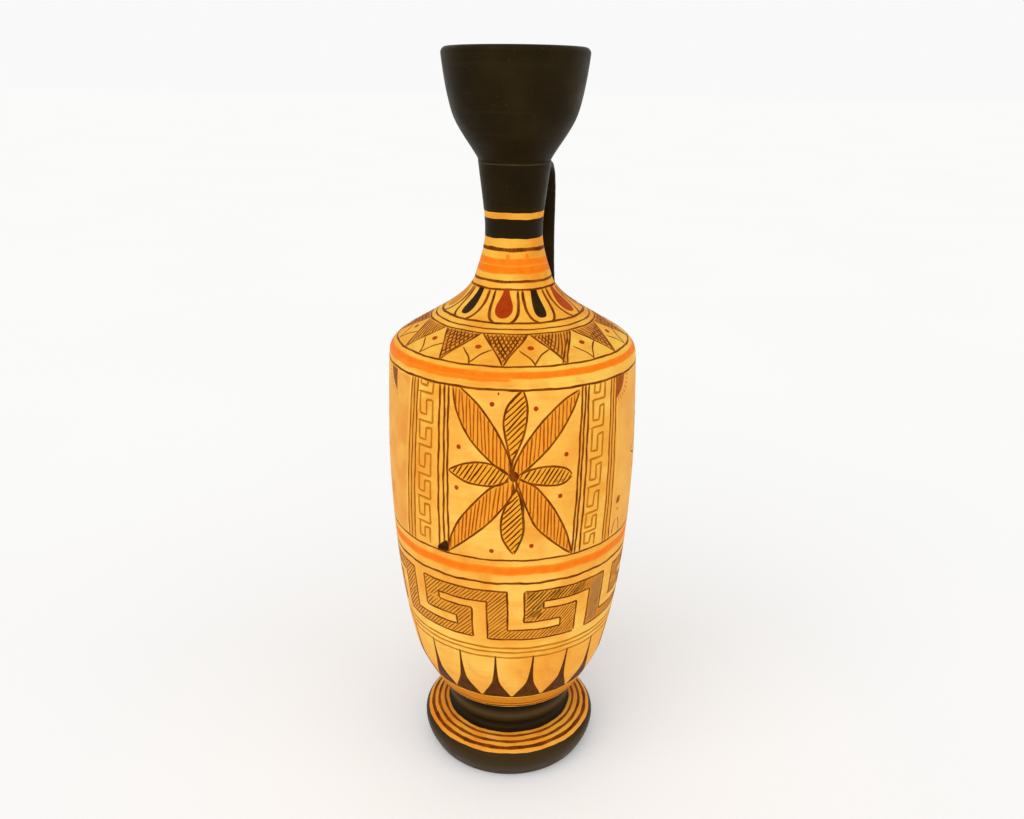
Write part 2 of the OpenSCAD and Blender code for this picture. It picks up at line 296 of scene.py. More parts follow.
class Surface(Nodes):
    """A material with one shader."""

    def __init__(self, name):
        super().__init__(bpy.data.materials.new(name))
        self.shader = self.tree.nodes["Principled BSDF"]
        self.set("Specular IOR Level", 0.05)
        self.set("Specular Tint", (1, 0.86, 0.66, 1))
        self.coords = self.add("ShaderNodeTexCoord").outputs["Object"]

    def set(self, key, value):
        self.feed(self.shader, key, value)

    def bump(self, height, strength, distance):
        node = self.add("ShaderNodeBump", Strength=strength, Distance=distance, Height=height)
        self.set("Normal", node.outputs["Normal"])

    def throwing_marks(self, strength):
        """Turning rings and small unevenness in the clay, as relief."""
        rings = self.noise(detail=3, stretch=(12, 12, 420))
        grain = self.maths("MULTIPLY", self.noise(900, 3), 0.25)
        uneven = self.maths("MULTIPLY", self.noise(70, 2), 1.5)
        self.bump(self.maths("ADD", self.maths("ADD", rings, grain), uneven), strength, 0.0004)

    def finish(self, colour, smoothest, roughest):
        """Give the shader its colour and its patches of more and less gloss."""
        self.set("Base Color", colour)
        self.set("Roughness", self.ramp(self.noise(160, 5), (0.3, smoothest), (0.7, roughest)))
        return self.owner


def ground_material():
    """Warm yellow slip ground, brushed on while the bottle turned."""
    m = Surface("painted_ground")
    clouds = m.noise(36, 6, 0.9)
    colour = m.ramp(clouds, (0.3, (244, 155, 52)), (0.48, (252, 184, 73)), (0.66, (255, 207, 97)))
    streaks, slanted = m.noise(stretch=(18, 18, 520)), m.noise(1, 3, 1.2, (90, 90, 300))
    stains, specks = m.noise(95, 6, 0.8), m.noise(1500, 2)
    colour = m.layer(colour, streaks, 0.5, 0.75, 0.4, (243, 150, 46))
    colour = m.layer(colour, slanted, 0.55, 0.8, 0.35, (255, 214, 108))
    colour = m.layer(colour, stains, 0.54, 0.74, 0.45, (234, 138, 42))
    colour = m.layer(colour, specks, 0.7, 0.76, 0.55, (168, 96, 34))
    # Painted shade: darker on the lower body above the base band and on the foot's top under the body.
    painted_shade_low = m.by_height((14.5, 1), (15, 0), (34, 0), (36, 0.5), (53, 0.4), (58, 0))
    colour = m.mix(painted_shade_low, colour, (0.96, 0.76, 0.56, 1), "MULTIPLY")
    upper = m.by_height((144, 0), (152, 1))
    colour = m.mix(upper, colour, (0.97, 0.92, 0.68, 1), "MULTIPLY")
    m.throwing_marks(0.25)
    return m.finish(colour, 0.46, 0.6)


def glaze_material(name, foot=False):
    """Satin black glaze, brown where it is thin; on the foot, a painted highlight on the stem's ring,
    where the glaze is also thinner, and painted shade in the groove.
    """
    m = Surface(name)
    colour = m.ramp(m.noise(55, 5), (0.3, (26, 18, 4)), (0.55, (36, 27, 9)), (0.8, (50, 38, 16)))
    if foot:
        m.set("Specular IOR Level", 0.09)
        # Painted highlight on the stem's ring, where the glaze is also thinner, painted shade in the
        # groove below it, and lighter at the foot's edge.
        thin_glaze_and_painted_highlight = m.by_height((9, 0.42), (14.5, 0.1), (18, 0), (19.7, 0.5), (21, 1),
                           (21.9, 0.45), (23, 0))
        colour = m.mix(0.3, m.mix(thin_glaze_and_painted_highlight, linear(24, 11, 1), linear(97, 74, 38)), colour)
    streaks, specks = m.noise(stretch=(25, 25, 620)), m.noise(1300, 2)
    colour = m.layer(colour, streaks, 0.56, 0.8, 0.4, (58, 42, 18))
    colour = m.layer(colour, specks, 0.7, 0.77, 0.45, (96, 70, 38))
    m.throwing_marks(0.3)
    return m.finish(colour, 0.34, 0.5)


def clay_material(name, dark, light, rough):
    """Bare fired clay with grit."""
    m = Surface(name)
    colour = m.ramp(m.noise(80, 6), (0.3, dark), (0.7, light))
    colour = m.layer(colour, m.noise(1800, 2), 0.66, 0.74, 0.6, (96, 52, 30))
    m.throwing_marks(0.5)
    return m.finish(colour, rough - 0.08, rough + 0.08)


def paint_material(name, thin, thick, patches=330, least=0.66):
    """Brushed slip or glaze: the colour of the ground shows through where the paint is thin."""
    m = Surface(name)
    body = m.add("ShaderNodeAttribute", attribute_name="body").outputs["Fac"]
    patchy = m.ramp(m.noise(patches), (0.25, least), (0.6, 1))
    fine = m.ramp(m.noise(1500, 3), (0.3, 0.82), (0.6, 1))
    cover = m.maths("MULTIPLY", m.maths("MULTIPLY", patchy, fine), body)
    m.bump(m.noise(1100, 3), 0.2, 0.0002)
    return m.finish(m.mix(cover, linear(*thin), linear(*thick)), 0.44, 0.58)


GROUND = ground_material()
GLAZE = glaze_material("black_glaze")
FOOT_GLAZE = glaze_material("foot_black_glaze", foot=True)
CLAY = clay_material("bare_clay", (176, 98, 58), (204, 126, 80), 0.78)
SLIP = clay_material("joint_slip", (150, 108, 66), (196, 150, 98), 0.7)


# Building meshes.


def add_to_scene(name, data):
    thing = bpy.data.objects.new(name, data)
    bpy.context.scene.collection.objects.link(thing)
    return thing


def add_object(name, vertices, faces, materials, face_materials=None, solid=True):
    """A smooth mesh object in the scene, riding the bottle's one body."""
    mesh = bpy.data.meshes.new(name)
    mesh.from_pydata(vertices, [], faces)
    for material in materials:
        mesh.materials.append(material)
    if face_materials:
        mesh.polygons.foreach_set("material_index", face_materials)
    if solid:
        work = bmesh.new()
        work.from_mesh(mesh)
        bmesh.ops.remove_doubles(work, verts=work.verts, dist=1e-7)
        bmesh.ops.recalc_face_normals(work, faces=work.faces)
        work.to_mesh(mesh)
        work.free()
    mesh.polygons.foreach_set("use_smooth", [True] * len(mesh.polygons))
    mesh.set_sharp_from_angle(angle=SHARP)
    mesh.update()
    piece = add_to_scene(name, mesh)
    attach(piece, "root")
    return piece


def add_part(name, vertices, faces, materials, face_materials=None):
    """A solid that stands in for the CAD node of its name."""
    piece = add_object(name, vertices, faces, materials, face_materials)
    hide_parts(name.replace("_visual", ""))


def lathe(name, slot, *parts):
    """A closed turned solid from a loop of parts, each (outline points, material)."""
    materials = list(dict.fromkeys(material for points, material in parts))
    loop = [(point, materials.index(material)) for points, material in parts for point in points]
    vertices, rows = [], []
    for (r, z), kind in loop:
        count = 1 if r < 1e-6 else TURN_STEPS
        rows.append([len(vertices) + i % count for i in range(TURN_STEPS)])
        for i in range(count):
            turn = 2 * pi * i / TURN_STEPS
            vertices.append((r * sin(turn) * MM, -r * cos(turn) * MM, z * MM))
    faces, face_materials = [], []
    for (point, kind), row, above in zip(loop, rows, rows[1:] + rows[:1]):
        for i in range(TURN_STEPS):
            j = (i + 1) % TURN_STEPS
            corners = list(dict.fromkeys((row[i], row[j], above[j], above[i])))
            if len(corners) > 2:
                faces.append(corners)
                face_materials.append(kind)
    add_part(name, vertices, faces, materials, face_materials)


def inner_line(points, wall_t, low, high, least_r=0):
    """The inside of a wall, from its top down."""
    inside = [p for p in moved(points, SKIN - wall_t) if low < p[1] < high and p[0] > least_r]
    return inside[::-1]


def make_foot():
    inside = FOOT_BASE_R - FOOT_CHAMFER - FOOT_STAND_W
    register_z = STEM_TOP_Z + SLIP_T + REGISTER_H
    lathe("foot_visual", "black_glaze",
          ([(0, HOLLOW_H), (HOLLOW_TOP_R, HOLLOW_H), (inside, 1), (inside, 0)], CLAY),
          (foot_line, FOOT_GLAZE),
          ([(REGISTER_R, STEM_TOP_Z), (REGISTER_R, register_z), (0, register_z)], CLAY))


def make_slip(name, material, inner_r, outer_r, z):
    """A flat ring of slip in a joint."""
    r = outer_r - SKIN
    lathe(name, "slip",
          ([(inner_r, z), (r, z), (r, z + SLIP_T), (inner_r, z + SLIP_T)], material))


def make_body():
    floor_z, socket_z = BODY_Z + BODY_FLOOR, BODY_Z + REGISTER_H + GAP
    inside = inner_line(body_line, BODY_WALL, floor_z + 1, BODY_TOP_Z)
    rim_z, rim_r, inner_r = SHOULDER_Z + REGISTER_H, REBATE_R - GAP, BODY_TOP_R - BODY_WALL
    rim = [(rim_r, BODY_TOP_Z), (rim_r, rim_z), (inner_r, rim_z), (inner_r, BODY_TOP_Z)]
    lathe("body_visual", "painted_ground",
          ([(0, socket_z), (SOCKET_R, socket_z), (SOCKET_R, BODY_Z)], CLAY),
          (body_line, GROUND),
          (rim + inside + [(inside[-1][0] - 2, floor_z), (0, floor_z)], CLAY))


def make_shoulder():
    rebate_z, inner_r = SHOULDER_Z + REGISTER_H + GAP, BODY_TOP_R - SHOULDER_WALL
    inside = inner_line(shoulder_line, SHOULDER_WALL, rebate_z + 0.2, RIM_Z,
                        NECK_BASE_R - SHOULDER_WALL / 2)
    seat = [(SEAT_R, SHOULDER_TOP_Z), (SEAT_R, inside[0][1])]
    lathe("shoulder_visual", "painted_ground",
          ([(REBATE_R, SHOULDER_Z)], CLAY),
          (shoulder_line, GROUND),
          (seat + inside + [(inner_r, rebate_z), (REBATE_R, rebate_z)], CLAY))


def make_neck():
    low, high = SHOULDER_TOP_Z - TENON_H, MOUTH_Z + TENON_H
    lathe("neck_visual", "black_glaze",
          ([(BORE_R, high), (BORE_R, low), (TENON_R, low), (TENON_R, NECK_Z)], CLAY),
          (neck_line, GROUND),
          ([(TENON_R, NECK_TOP_Z)], CLAY), ([(TENON_R, high)], GLAZE))


def make_mouth():
    floor_z, lip_r = MOUTH_Z + TENON_H, MOUTH_WALL / 2
    lip = [(MOUTH_R - lip_r + (lip_r - SKIN) * cos(radians(a)), RIM_Z - lip_r + lip_r * sin(radians(a)))
           for a in range(10, 180, 10)]
    inside = inner_line(mouth_line, MOUTH_WALL, floor_z + 0.5, RIM_Z - lip_r - 0.5)
    lathe("mouth_visual", "black_glaze",
          ([(SEAT_R, floor_z), (SEAT_R, MOUTH_Z)], CLAY),
          (mouth_line + lip + inside, GLAZE))


def handle_middle():
    """The strap's middle line (distance from the axis, height), from the neck down."""
    start = (NECK_TOP_R - HANDLE_T / 2, NECK_TOP_Z - HANDLE_DROP)
    arch_z = start[1] + HANDLE_RISE
    fall = (HANDLE_REACH, arch_z - 2 * HANDLE_DROP - HANDLE_RISE)
    root_r = BODY_TOP_R - HANDLE_INSET
    root_z = [z for r, z in shoulder_outline() if r >= root_r][-1]
    end = (root_r + 1, root_z - HANDLE_T)
    arch_r = (start[0] + HANDLE_REACH) / 2
    points = joined(curve(start, (arch_r, arch_z), (HANDLE_REACH, arch_z), fall, 26),
                    sweep(fall, end, (0, 0.35), (0, 0.75), 26))
    return [p for p in points if p[1] > root_z - 2.6]


def rounded(value, power):
    """The value raised to a power with its sign kept, for a section with full corners."""
    return copysign(abs(value) ** power, value)


def strap(name, middle, half_widths, grow=0):
    """The handle, or a pad round one of its ends, swept along a middle line."""
    vertices, rows = [], []
    for k, (y, z) in enumerate(middle):
        run, rise = heading(middle, k - 1, k + 1)
        half_w = min(half_widths, key=lambda p: abs(p[1] - z))[0] + grow - SKIN
        half_t = HANDLE_T / 2 + grow - SKIN
        rows.append([len(vertices) + i for i in range(STRAP_STEPS)])
        for i in range(STRAP_STEPS):
            a = 2 * pi * i / STRAP_STEPS
            side, thick = rounded(cos(a), 0.75) * half_w, rounded(sin(a), 0.8) * half_t
            vertices.append((side * MM, (y - rise * thick) * MM, (z + run * thick) * MM))
    faces = [(row[i - 1], row[i], above[i], above[i - 1])
             for row, above in zip(rows, rows[1:]) for i in range(STRAP_STEPS)]
    add_part(name, vertices, faces + [rows[0], rows[-1]], [GLAZE])


def make_handle():
    """The strap, wider at both ends, and the slip round its ends."""
    middle = handle_middle()
    low, top = middle[-1][1] - HANDLE_T, max(p[1] for p in middle) + HANDLE_T
    half_widths = curve((HANDLE_ROOT_W / 2, low), (HANDLE_W / 2, low + 3 * HANDLE_T),
                        (HANDLE_W / 2, top - 5 * HANDLE_T), (HANDLE_TOP_W / 2, top))
    upper = [p for p in middle[:20] if p[0] < NECK_TOP_R + 0.2]
    root = [p for p in middle if p[1] < middle[-1][1] + 3.6]
    strap("handle_visual", middle, half_widths)
    strap("handle_top_slip_visual", upper, half_widths, 0.35)
    strap("handle_root_slip_visual", root, half_widths, 0.5)


make_foot()
make_slip("foot_slip_visual", GLAZE, SOCKET_R, STEM_TOP_R, STEM_TOP_Z)
make_body()
make_slip("shoulder_slip_visual", GROUND, REBATE_R, BODY_TOP_R, BODY_TOP_Z)
make_shoulder()
make_slip("neck_slip_visual", GROUND, SEAT_R, NECK_BASE_R, SHOULDER_TOP_Z)
make_neck()
make_slip("mouth_slip_visual", SLIP, SEAT_R, NECK_TOP_R, NECK_TOP_Z)
make_mouth()
make_handle()

# Painting. It is placed by (degrees from the panel's middle, height), and brush lines are
# made of (degrees, way along the outline).

# Millimetres for one degree where the body is widest.
DEGREE = radians(1) * BODY_R


def on_wall(points, turn=0):
    """Points (degrees, height) made (degrees, way), and turned round the bottle."""
    return [(phi + turn, way_at(z)) for phi, z in points]


def per_degree(w):
    """Millimetres for one degree at way w."""
    return radians(1) * wall_at(w)[0]


def gap_between(a, b):
    return hypot((b[0] - a[0]) * per_degree((a[1] + b[1]) / 2), b[1] - a[1])


def flow(points, steps=8, turn=0):
    """A flowing line on the wall through points (degrees, height)."""
    points, out = on_wall(points, turn), []
    for before, p, q, after in zip(points[:1] + points, points, points[1:], points[2:] + points[-1:]):
        for t in (k / steps for k in range(steps)):
            out.append(tuple(
                b + 0.5 * t * (c - a + t * (2 * a - 5 * b + 4 * c - d + t * (3 * (b - c) + d - a)))
                for a, b, c, d in zip(before, p, q, after)))
    return out + [points[-1]]


def leaning(shape, lean, middle_z, steps, turn):
    """Both sides of an upright shape of (height, half width), leaning by degrees for each mm."""
    return [flow([(lean * (z - middle_z) + side * half, z) for z, half in shape], steps, turn)
            for side in (-1, 1)]


def evenly(points, step):
    """The same line with points about one step apart, and its length."""
    marks = [0, *accumulate(gap_between(a, b) for a, b in zip(points, points[1:]))]
    count = max(2, ceil(marks[-1] / step))
    out = []
    for k in range(count + 1):
        i, share = found(marks, marks[-1] * k / count)
        out.append(between(points[i - 1], points[i], share, share))
    return out, marks[-1]


def sway(length, long=13, short=4.5):
    """A slow and a quick wave of the hand over a line's length, from about -1 to 1."""
    turns = [max(1, round(length / long)), max(2, round(length / short))]
    starts = [rng.uniform(0, 2 * pi) for _ in turns]

    def at(share):
        slow, quick = (sin(2 * pi * n * share + p) for n, p in zip(turns, starts))
        return 0.7 * slow + 0.3 * quick
    return at


paints = []


class Paint:
    """Brushed paint of one material, gathered into one piece that lies on the wall."""

    def __init__(self, name, material, lift=0.045, slot="painted_ground", grain=1.6):
        self.name, self.material, self.lift, self.slot = name, material, lift, slot
        self.grain = grain
        self.vertices, self.faces, self.body = [], [], []
        paints.append(self)

    def fill(self, left, right, edge=0.25, load=1, closed=False, soft_ends=True):
        """Paint between two lines of as many points, with one load or one for each pair."""
        loads = load if isinstance(load, list) else [load] * len(left)
        widths = [gap_between(a, b) for a, b in zip(left, right)]
        inner = max(1, ceil(max(widths) / self.grain))
        rows = []
        for k, (a, b) in enumerate(zip(left, right)):
            soft = min(0.3, edge / max(widths[k], 1e-3))
            last = soft_ends and not closed and k in (0, len(left) - 1)
            shares = [0, soft / 2] + [soft + (1 - 2 * soft) * i / inner for i in range(inner + 1)]
            shares += [1 - soft / 2, 1]
            rows.append([len(self.vertices) + i for i in range(len(shares))])
            for share in shares:
                depth = min(min(share, 1 - share) / soft, 1) * (0.2 if last else 1)
                place = between(a, b, share, share)
                self.vertices.append(spot(*place, (self.lift + SINK) * depth - SINK))
                self.body.append((0.1 + 0.9 * depth) * loads[k])
        for near, far in zip(rows, rows[1:] + (rows[:1] if closed else [])):
            for i in range(len(near) - 1):
                self.faces.append((near[i], near[i + 1], far[i + 1], far[i]))

    def stroke(self, points, width, taper=(0.6, 0.4), wander=0.06, load=1, closed=False,
               step=0.9):
        """One brush line; taper is the share of its width at each end."""
        centre, length = evenly(points, step)
        count = len(centre) - 1
        if closed:
            centre.pop()
        before, after = (centre[-1:], centre[:1]) if closed else (centre[:1], centre[-1:])
        aside, breadth, wetness = sway(length), sway(length, 9, 3.5), sway(length, 20, 7)
        left, right, loads = [], [], []
        around = zip(before + centre, centre, centre[1:] + after)
        for k, (near, (phi, w), far) in enumerate(around):
            turn = (far[0] - near[0] + 180) % 360 - 180
            across, along = turn * per_degree(w), far[1] - near[1]
            size = max(hypot(across, along), 1e-6)
            share = k / count
            half = width / 2 * (1 + 0.14 * breadth(share))
            if not closed:
                start, stop = share * length / TAPER_L, (1 - share) * length / TAPER_L
                half *= min(1, taper[0] + (1 - taper[0]) * start, taper[1] + (1 - taper[1]) * stop)
            for side, line in ((1, left), (-1, right)):
                offset = (wander * aside(share) + side * half) / size
                line.append((phi - along * offset / per_degree(w), w + across * offset))
            loads.append(load * (1 + 0.15 * wetness(share)))
        self.fill(left, right, 0.3 * width, loads, closed)

    def ring(self, z, width, load=1, wander=0.12, tilt=0, step=1.2):
        """A line round the bottle at height z, tilted by up to tilt."""
        w = way_at(z)
        points = [(phi, w + tilt * sin(radians(phi))) for phi in range(-180, 181, 5)]
        self.stroke(points, width, wander=wander, load=load, closed=True, step=step)

    def rings(self, *rings):
        """Lines round the bottle, each with its height, width and other values."""
        for values in rings:
            self.ring(*values)

    def band(self, low, high, wavy=0.12, edge=0.4, load=1):
        """A broad band round the bottle, between heights low and high."""
        count = 360
        length = 2 * pi * wall_at(way_at(low))[0]
        sways = sway(length, 16, 5), sway(length, 16, 5)
        lines = [[(-180 + 360 * k / count, way_at(z) + wavy * s(k / count)) for k in range(count)]
                 for z, s in zip((low, high), sways)]
        self.fill(*lines, edge, load, closed=True)

    def dot(self, phi, z, width, height, lean=0, load=1):
        """A dab of the brush round (phi, height)."""
        w = way_at(z)
        unit, lobes = per_degree(w), sway(6, 3, 1.5)
        left, right = [], []
        for k in range(9):
            t = -1 + k / 4
            half = sqrt(max(1 - t * t, 0.02)) * (1 + 0.12 * lobes(k / 8))
            for side, line in ((-1, left), (1, right)):
                line.append((phi + (lean * t * height + side * half * width) / 2 / unit,
                             w + t * height / 2))
        self.fill(left, right, load=load)

    def hatch(self, outline, angle, spacing, width, others=(), load=1, inset=0.25):
        """Strokes at an angle within a closed outline, in turns of this paint and the others."""
        takers = cycle((self, *others))
        middle = sum(w for phi, w in outline) / len(outline)
        unit, origin = per_degree(middle), outline[0][0]
        # the outline in mm, turned so that the strokes run along the real axis
        turned = cmath.rect(1, radians(angle))
        flat = [complex((phi - origin) * unit, w - middle) / turned for phi, w in outline]
        reach = [p.imag for p in flat]
        offset = min(reach) + spacing * rng.uniform(0.35, 0.65)
        while offset < max(reach):
            taker = next(takers)
            crossings = sorted(
                p.real + (offset - p.imag) / (q.imag - p.imag) * (q.real - p.real)
                for p, q in zip(flat, flat[1:] + flat[:1]) if (p.imag < offset) != (q.imag < offset))
            for start, stop in zip(crossings[::2], crossings[1::2]):
                start, stop = start + inset * rng.uniform(0, 1), stop - inset * rng.uniform(0, 1)
                if stop - start < LEAST_HATCH:
                    continue
                tilt = (stop - start) / 2 * tan(radians(rng.uniform(-3, 3)))
                tilt = min(max(tilt, -0.3 * spacing), 0.3 * spacing)
                ends = (complex(start, offset - tilt) * turned, complex(stop, offset + tilt) * turned)
                taker.stroke(
                    [(origin + p.real / unit, middle + p.imag) for p in ends],
                    width * rng.uniform(0.85, 1.15), (0.8, 0.6), 0.05, load * rng.uniform(0.85, 1.1))
            offset += spacing * rng.uniform(0.9, 1.1)

    def patch(self, top, bottom, high, low, rows, edge, load, soft_ends=True, turn=0):
        """A patch between straight sides, from their degrees at the top and at the bottom."""
        left, right = (on_wall([between((a, high), (b, low), k / rows, k / rows)
                                for k in range(rows + 1)], turn) for a, b in zip(top, bottom))
        self.fill(left, right, edge, load, soft_ends=soft_ends)

    def finish(self):
        piece = add_object(self.name, self.vertices, self.faces, [self.material], solid=False)
        body = piece.data.attributes.new("body", "FLOAT", "POINT")
        body.data.foreach_set("value", self.body)
        first = piece.data.polygons[0]
        if first.normal.dot(Vector((first.center.x, first.center.y, 0))) < 0:
            piece.data.flip_normals()


BROWN = paint_material("brown_paint", (200, 108, 14), (92, 40, 1))
RUST = paint_material("rust_paint", (224, 128, 26), (158, 72, 6))
# Orange of the band at the body's base, darker than ORANGE as painted shade under the body's curve.
SHADED_BASE_ORANGE = paint_material("base_orange_paint", (236, 152, 44), (206, 122, 22))
LIGHT_BROWN = paint_material("light_brown_paint", (228, 148, 34), (184, 110, 12))
DARK = paint_material("dark_paint", (108, 54, 6), (42, 20, 1))
SPIKE = paint_material("spike_paint", (150, 84, 14), (72, 34, 3))
ORANGE = paint_material("orange_paint", (252, 160, 46), (251, 119, 8))
WASH = paint_material("orange_wash", (250, 172, 48), (232, 128, 34))
RED = paint_material("red_stroke", (230, 128, 36), (172, 68, 14))
MAROON = paint_material("maroon_paint", (200, 90, 20), (164, 48, 7))
TAN = paint_material("tan_wash", (250, 176, 58), (222, 140, 44))
OLIVE = paint_material("olive_paint", (190, 130, 30), (62, 44, 8))
GREY = paint_material("smudged_paint", (236, 164, 70), (172, 118, 56))
HONEY = paint_material("honey_wash", (254, 194, 86), (236, 150, 58), 75, -0.3)
INK = paint_material("ink_paint", (88, 54, 14), (34, 22, 5))
SEAM = paint_material("worn_seam", (46, 36, 18), (74, 63, 40))


def paint_neck():
    """Black bands, an orange band in two strokes with three drips, and brown lines."""
    black = Paint("neck_black", GLAZE, 0.06, "black_glaze")
    black.band(185.39, 191.33, 0.15)
    black.band(193.15, MOUTH_Z + 0.1793, 0.1)
    Paint("neck_seam", SEAM, 0.085, "black_glaze").ring(MOUTH_Z - 0.9, 0.6, 0.7, 0.05, step=0.5)
    orange = Paint("neck_orange", ORANGE, 0.03)
    orange.band(174.9, 177.6, 0.15, 0.6)
    orange.band(177.3, 179.75, 0.15, 0.6, 0.9)
    for phi, z in ((-10, 180), (25, 180.2), (140, 180.1)):
        orange.dot(phi, z, 1.5, 2.2, load=0.8)
    Paint("neck_lines", BROWN, 0.05).rings((182.2, 1.55), (172.9, 1.05, 0.9), (170.7, 0.85))


def paint_eggs():
    """Ten eggs, maroon and black in turn, each in a line bent round it."""
    maroon, black = Paint("maroon_eggs", MAROON, 0.05), Paint("black_eggs", INK, 0.05)
    faded, lines = Paint("faded_egg", LIGHT_BROWN, 0.05), Paint("egg_lines", BROWN, 0.045)
    levels = 170.6, 169.7, 168.2, 166.9, 165.8, 164.9, 164.3, 163.8, 163.55
    maroon_shape = (4.3, 4.8, 6.9, 8.7, 9, 8.1, 6.5, 4.2, 1.8)
    black_shape = (5.2, 5, 5.6, 6.1, 6.3, 6, 5.2, 3.9, 1.8)
    for k in range(10):
        middle = -9.25 + 36 * k + rng.uniform(-0.6, 0.6) - (1.9 if k == 9 else 0)
        lean = rng.uniform(-0.15, 0.3)
        paint, shape = (black, black_shape) if k % 2 else (maroon, maroon_shape)
        paint, load = {2: (maroon, 0.75), 8: (faded, 0.3)}.get(k, (paint, 1))
        paint.fill(*leaning(list(zip(levels, shape)), lean, 167, 4, middle), 0.35, load)
        wide = rng.uniform(13.9, 15)
        for side in (-1, 1):
            top = 170.5 if rng.random() < 0.8 else 169.7
            arm = (0.3, top), (0, 167.5), (1.3, 165), (5, 163.2), (9, 162.6)
            arm = flow([(side * (wide - inwards), z) for inwards, z in arm], turn=middle)
            lines.stroke(arm, 1.05, (0.6, 0.8), 0.08)


def paint_rays():
    """Twelve hatched rays on the shoulder's edge, with tendrils and dots between them."""
    lines, tint = Paint("ray_lines", BROWN, 0.05), Paint("ray_tint", TAN, 0.02)
    dots = Paint("ray_dots", MAROON, 0.05)
    lines.rings((162.5, 1), (161.2, 0.65), (160.2, 0.65), (153.5, 0.75))
    tips = [-63, -35.5, -4.5, 25.25, 57] + [87 + 30 * k for k in range(7)]
    nearby = zip([tips[-1] - 360] + tips, tips[1:] + [tips[0] + 360])
    for k, (tip, (before, after)) in enumerate(zip(tips, nearby)):
        a, b = (before + tip) / 2 + 0.6, (tip + after) / 2 - 0.6
        left, right = (
            flow([(base, 160.1), (base + u * (tip - base), z), (base + v * (tip - base), z - 2.1),
                  (end, 153.6)], 6)
            for base, u, v, z, end in ((a, 0.47, 0.8, 157.9, tip), (b, 0.44, 0.78, 157.8, tip + 0.3)))
        tint.fill(left, right, 0.3)
        for side in (left, right):
            lines.stroke(side, 0.72, (0.7, 0.9))
        whole, part = left + right[::-1], left[len(left) // 3:] + right[::-1]
        third = left + [(p[0] + 0.45 * (q[0] - p[0]), q[1]) for p, q in zip(left, right)][::-1]
        # hatched one way, crossed on a part, crossed all over, or crossed on the left with a
        # doubled right edge
        style = {-35.5: 2, -4.5: 2, 25.25: 3}.get(tip, k % 3)
        for area, *hatching in (((whole, 118, 1.12, 0.66),),
                                ((whole, 118, 1.3, 0.78), (part, 62, 1.3, 0.78)),
                                ((whole, 118, 1.3, 0.78), (whole, 62, 1.3, 0.78)),
                                ((whole, 62, 1.12, 0.66), (third, 118, 1.3, 0.5)))[style]:
            lines.hatch(area, *hatching)
        if style == 3:
            lines.stroke([(phi - 2.2, w) for phi, w in right], 0.6, (0.7, 0.9))
        root = (tip + after) / 2
        for tendril in (((0, 153.6), (-1.8, 155.2), (-7.2, 156.9)),
                        ((0, 153.9), (4.2, 155.9), (10, 157))):
            lines.stroke(flow(tendril, turn=root), 0.6, (1, 0.5))
        aside = rng.uniform(-0.5, 1.8) - (2 if tip == -4.5 else 0)
        dots.dot(root + aside, 157.3, 2.1, 1.75, load=0.9)


PETALS = (
    # two sides from the middle outwards, hatching angle and spacing, True for a slanted leaf
    (((-0.1, 125), (-2.6, 133.2), (-3.3, 138.2), (-1.4, 143.2), (4.1, 147.4)),
     ((-0.1, 125), (3.8, 131.4), (6.1, 137.9), (6.2, 143.2), (4.5, 147.4)), 47, 1.22, False),
    (((2, 117.2), (-2, 111.4), (-4, 106.6), (-3.7, 100.6), (1, 94.8)),
     ((2.2, 117.2), (4.9, 111.4), (5.1, 107.1), (5, 101.4), (1.5, 94.8)), 47, 1.22, False),
    (((-0.8, 121.4), (-5.8, 123.9), (-13.2, 124.9), (-20.8, 123.6), (-27.4, 121.1)),
     ((-1, 120), (-4.5, 118.2), (-10.8, 117.5), (-19.5, 118.2), (-27.4, 120.8)), 57, 1.2, False),
    (((3.2, 121.4), (8, 122.9), (15.5, 123.6), (23, 122.5), (26.5, 120.2)),
     ((3.2, 120.4), (8, 118.6), (15.5, 117.5), (21.8, 117.5), (26.5, 119.6)), 57, 1.2, False),
    (((-0.7, 121.1), (-7, 124.3), (-17, 131.4), (-23.3, 139.3), (-25.6, 147.2)),
     ((-0.3, 121.6), (-0.5, 125.4), (-3.3, 130.7), (-8.3, 137.1), (-14.5, 142.9), (-22.2, 147.3)),
     91, 1.15, True),
    (((0.6, 121.6), (1.8, 125.4), (6.8, 132.1), (13, 137.9), (21.8, 143.6), (29.4, 146.1)),
     ((2.9, 121.1), (10.5, 125.7), (18, 131.4), (25.5, 139.3), (29.6, 145.9)), 88, 1.15, True),
    (((-0.8, 119.3), (-8.3, 117.1), (-15.8, 111.4), (-22, 105.7), (-27, 98.6), (-28.4, 93.6)),
     ((0.6, 119.2), (0.9, 116.3), (-2.4, 111.6), (-10.8, 104.3), (-19.5, 98.6), (-28, 93.4)),
     85, 1.15, True),
    (((3, 120), (10.5, 117.1), (18, 110), (24.3, 101.4), (27.8, 93.4)),
     ((2.2, 119.2), (4.4, 114.8), (6.2, 111), (10.5, 104.3), (18, 98.6), (27.4, 93)),
     90, 1.15, True),
)


def petal(lines, stripes, tint, sides, angle, spacing, slanted):
    """A leaf between two lines that meet at both ends, hatched and tinted."""
    width, load, tint_load = (0.7, 1.08, 0.45) if slanted else (0.66, 1.25, 0.2)
    left, right = (evenly(side, 0.9)[0] for side in sides)
    count = min(len(left), len(right))
    left, right = ([line[round(k * (len(line) - 1) / (count - 1))] for k in range(count)]
                   for line in (left, right))
    tint.fill(left, right, 0.5, tint_load)
    for side in (left, right):
        lines.stroke(side, 0.78, (0.7, 0.6), 0.05)
    stripes[0].hatch(left + right[::-1], angle, spacing, width, stripes[1:], load)


